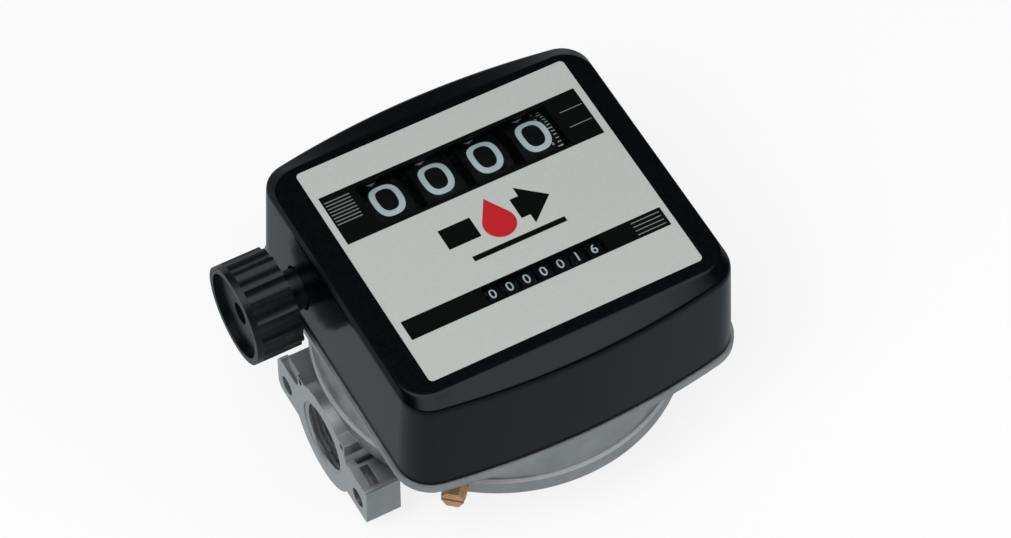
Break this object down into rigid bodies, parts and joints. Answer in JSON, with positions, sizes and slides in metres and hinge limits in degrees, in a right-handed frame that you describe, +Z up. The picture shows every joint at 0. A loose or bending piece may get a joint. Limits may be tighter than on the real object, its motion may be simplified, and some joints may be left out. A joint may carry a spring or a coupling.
{
  "type": "mechanical flow meter",
  "caption": "Flow meter with a round cast body, two flanged threaded ports, a nutating disc chamber, and a square black counter head with a trip counter, a totaliser and a reset knob.",
  "frame": {"origin": "centre of the flat base face of the body", "axes": "+Z up through the counter face; +X along the flow, from the inlet port with the knob above it to the outlet port; +Y towards the trip counter"},
  "size_m": [0.191, 0.1598, 0.127],
  "materials": {
    "cast": "satin, as cast",
    "cover": "gloss",
    "knob": "satin",
    "plate": "satin",
    "pane": "clear",
    "seal": "matte",
    "steel": "bright",
    "brass": "satin",
    "frame": "zinc plated",
    "wheel": "satin",
    "gear": "satin",
    "chamber": "satin"
  },
  "bodies": {
    "base": {"meter_body": "cast", "body_cover": "cast", "body_seal": "seal", "body_screws": "steel", "chamber_lower": "chamber", "chamber_upper": "chamber", "partition_plate": "steel", "chamber_seal": "seal", "shaft_bush": "brass", "shaft_seal": "seal", "inlet_strainer": "steel", "strainer_ring": "steel", "calibration_seal": "brass", "gear_pins": "steel", "transfer_rods": "steel", "total_shaft": "steel", "counter_frame": "frame", "counter_screws": "steel", "register_cover": "cover", "cover_screws": "steel", "face_plate": "plate", "trip_window": "pane", "total_window": "pane"},
    "crank": {"crank": "steel", "drive_pinion": "gear"},
    "disc": {"nutating_disc": "chamber"},
    "reduction": {"reduction_gear": "gear"},
    "cross": {"cross_shaft": "steel", "crown_gear": "gear", "cross_pinion": "gear"},
    "wheel_idler": {"wheel_idler": "gear"},
    "total_idler": {"total_idler": "gear"},
    "reset": {"reset_shaft": "steel", "reset_knob": "knob", "knob_screw": "steel"},
    "calibration": {"calibration_screw": "brass"},
    "trip_wheel_1": {"trip_wheel_1": "wheel"},
    "trip_wheel_2": {"trip_wheel_2": "wheel"},
    "trip_wheel_3": {"trip_wheel_3": "wheel"},
    "trip_wheel_4": {"trip_wheel_4": "wheel"},
    "trip_transfer_1": {"trip_transfer_1": "gear"},
    "trip_transfer_2": {"trip_transfer_2": "gear"},
    "trip_transfer_3": {"trip_transfer_3": "gear"},
    "total_wheel_1": {"total_wheel_1": "wheel"},
    "total_wheel_2": {"total_wheel_2": "wheel"},
    "total_wheel_3": {"total_wheel_3": "wheel"},
    "total_wheel_4": {"total_wheel_4": "wheel"},
    "total_wheel_5": {"total_wheel_5": "wheel"},
    "total_wheel_6": {"total_wheel_6": "wheel"},
    "total_wheel_7": {"total_wheel_7": "wheel"},
    "total_transfer_1": {"total_transfer_1": "gear"},
    "total_transfer_2": {"total_transfer_2": "gear"},
    "total_transfer_3": {"total_transfer_3": "gear"},
    "total_transfer_4": {"total_transfer_4": "gear"},
    "total_transfer_5": {"total_transfer_5": "gear"},
    "total_transfer_6": {"total_transfer_6": "gear"}
  },
  "joints": [
    {"name": "crank_spin", "type": "hinge", "parent": "base", "child": "crank", "pos_m": [0, 0, 0.05], "axis": [0, 0, 1], "continuous": true},
    {"name": "disc_spin", "type": "hinge", "parent": "crank", "child": "disc", "pos_m": [0, 0, 0.028], "axis": [0.2079, 0, 0.9781], "continuous": true},
    {"name": "reduction_spin", "type": "hinge", "parent": "base", "child": "reduction", "pos_m": [0, -0.024, 0.06], "axis": [0, 0, 1], "continuous": true},
    {"name": "cross_spin", "type": "hinge", "parent": "base", "child": "cross", "pos_m": [0, -0.024, 0.0835], "axis": [1, 0, 0], "continuous": true},
    {"name": "wheel_idler_spin", "type": "hinge", "parent": "base", "child": "wheel_idler", "pos_m": [0.0459, -0.01093, 0.09588], "axis": [1, 0, 0], "continuous": true},
    {"name": "total_idler_spin", "type": "hinge", "parent": "base", "child": "total_idler", "pos_m": [0.038, -0.03154, 0.1031], "axis": [1, 0, 0], "continuous": true},
    {"name": "trip_wheel_1_turn", "type": "hinge", "parent": "base", "child": "trip_wheel_1", "pos_m": [0.0353, 0.031, 0.0935], "axis": [1, 0, 0], "continuous": true},
    {"name": "trip_wheel_2_turn", "type": "hinge", "parent": "base", "child": "trip_wheel_2", "pos_m": [0.0124, 0.031, 0.0935], "axis": [1, 0, 0], "continuous": true},
    {"name": "trip_wheel_3_turn", "type": "hinge", "parent": "base", "child": "trip_wheel_3", "pos_m": [-0.0105, 0.031, 0.0935], "axis": [1, 0, 0], "continuous": true},
    {"name": "trip_wheel_4_turn", "type": "hinge", "parent": "base", "child": "trip_wheel_4", "pos_m": [-0.0334, 0.031, 0.0935], "axis": [1, 0, 0], "continuous": true},
    {"name": "trip_transfer_1_turn", "type": "hinge", "parent": "base", "child": "trip_transfer_1", "pos_m": [0.02385, 0.06317, 0.08488], "axis": [1, 0, 0], "continuous": true},
    {"name": "trip_transfer_2_turn", "type": "hinge", "parent": "base", "child": "trip_transfer_2", "pos_m": [0.00095, 0.06317, 0.08488], "axis": [1, 0, 0], "continuous": true},
    {"name": "trip_transfer_3_turn", "type": "hinge", "parent": "base", "child": "trip_transfer_3", "pos_m": [-0.02195, 0.06317, 0.08488], "axis": [1, 0, 0], "continuous": true},
    {"name": "total_wheel_1_turn", "type": "hinge", "parent": "base", "child": "total_wheel_1", "pos_m": [0.02859, -0.03, 0.115], "axis": [1, 0, 0], "continuous": true},
    {"name": "total_wheel_2_turn", "type": "hinge", "parent": "base", "child": "total_wheel_2", "pos_m": [0.02076, -0.03, 0.115], "axis": [1, 0, 0], "continuous": true},
    {"name": "total_wheel_3_turn", "type": "hinge", "parent": "base", "child": "total_wheel_3", "pos_m": [0.01293, -0.03, 0.115], "axis": [1, 0, 0], "continuous": true},
    {"name": "total_wheel_4_turn", "type": "hinge", "parent": "base", "child": "total_wheel_4", "pos_m": [0.0051, -0.03, 0.115], "axis": [1, 0, 0], "continuous": true},
    {"name": "total_wheel_5_turn", "type": "hinge", "parent": "base", "child": "total_wheel_5", "pos_m": [-0.00273, -0.03, 0.115], "axis": [1, 0, 0], "continuous": true},
    {"name": "total_wheel_6_turn", "type": "hinge", "parent": "base", "child": "total_wheel_6", "pos_m": [-0.01056, -0.03, 0.115], "axis": [1, 0, 0], "continuous": true},
    {"name": "total_wheel_7_turn", "type": "hinge", "parent": "base", "child": "total_wheel_7", "pos_m": [-0.01839, -0.03, 0.115], "axis": [1, 0, 0], "continuous": true},
    {"name": "total_transfer_1_turn", "type": "hinge", "parent": "base", "child": "total_transfer_1", "pos_m": [0.02467, -0.0187, 0.115], "axis": [1, 0, 0], "continuous": true},
    {"name": "total_transfer_2_turn", "type": "hinge", "parent": "base", "child": "total_transfer_2", "pos_m": [0.01684, -0.0187, 0.115], "axis": [1, 0, 0], "continuous": true},
    {"name": "total_transfer_3_turn", "type": "hinge", "parent": "base", "child": "total_transfer_3", "pos_m": [0.00902, -0.0187, 0.115], "axis": [1, 0, 0], "continuous": true},
    {"name": "total_transfer_4_turn", "type": "hinge", "parent": "base", "child": "total_transfer_4", "pos_m": [0.00119, -0.0187, 0.115], "axis": [1, 0, 0], "continuous": true},
    {"name": "total_transfer_5_turn", "type": "hinge", "parent": "base", "child": "total_transfer_5", "pos_m": [-0.00664, -0.0187, 0.115], "axis": [1, 0, 0], "continuous": true},
    {"name": "total_transfer_6_turn", "type": "hinge", "parent": "base", "child": "total_transfer_6", "pos_m": [-0.01448, -0.0187, 0.115], "axis": [1, 0, 0], "continuous": true},
    {"name": "reset_turn", "type": "hinge", "parent": "base", "child": "reset", "pos_m": [-0.095, 0.031, 0.0935], "axis": [1, 0, 0], "continuous": true},
    {"name": "calibration_turn", "type": "hinge", "parent": "base", "child": "calibration", "pos_m": [-0.05347, -0.06151, 0.0483], "axis": [-0.6561, -0.7547, 0], "range_deg": [-180, 180]}
  ],
  "couplings": [
    {"joint": "disc_spin", "follows": "crank_spin", "ratio": -1},
    {"joint": "reduction_spin", "follows": "crank_spin", "ratio": -0.2},
    {"joint": "cross_spin", "follows": "crank_spin", "ratio": -0.05},
    {"joint": "wheel_idler_spin", "follows": "crank_spin", "ratio": 0.025},
    {"joint": "total_idler_spin", "follows": "crank_spin", "ratio": 0.02},
    {"joint": "trip_wheel_1_turn", "follows": "crank_spin", "ratio": -0.01},
    {"joint": "trip_wheel_2_turn", "follows": "crank_spin", "ratio": -0.001},
    {"joint": "trip_wheel_3_turn", "follows": "crank_spin", "ratio": -0.0001},
    {"joint": "trip_wheel_4_turn", "follows": "crank_spin", "ratio": -0.00001},
    {"joint": "trip_transfer_1_turn", "follows": "crank_spin", "ratio": 0.0033333},
    {"joint": "trip_transfer_2_turn", "follows": "crank_spin", "ratio": 0.00033333},
    {"joint": "trip_transfer_3_turn", "follows": "crank_spin", "ratio": 0.000033333},
    {"joint": "total_wheel_1_turn", "follows": "crank_spin", "ratio": -0.01},
    {"joint": "total_wheel_2_turn", "follows": "crank_spin", "ratio": -0.001},
    {"joint": "total_wheel_3_turn", "follows": "crank_spin", "ratio": -0.0001},
    {"joint": "total_wheel_4_turn", "follows": "crank_spin", "ratio": -0.00001},
    {"joint": "total_wheel_5_turn", "follows": "crank_spin", "ratio": -0.000001},
    {"joint": "total_wheel_6_turn", "follows": "crank_spin", "ratio": -0.0000001},
    {"joint": "total_wheel_7_turn", "follows": "crank_spin", "ratio": -0.00000001},
    {"joint": "total_transfer_1_turn", "follows": "crank_spin", "ratio": 0.0033333},
    {"joint": "total_transfer_2_turn", "follows": "crank_spin", "ratio": 0.00033333},
    {"joint": "total_transfer_3_turn", "follows": "crank_spin", "ratio": 0.000033333},
    {"joint": "total_transfer_4_turn", "follows": "crank_spin", "ratio": 0.0000033333},
    {"joint": "total_transfer_5_turn", "follows": "crank_spin", "ratio": 0.00000033333},
    {"joint": "total_transfer_6_turn", "follows": "crank_spin", "ratio": 0.000000033333}
  ]
}
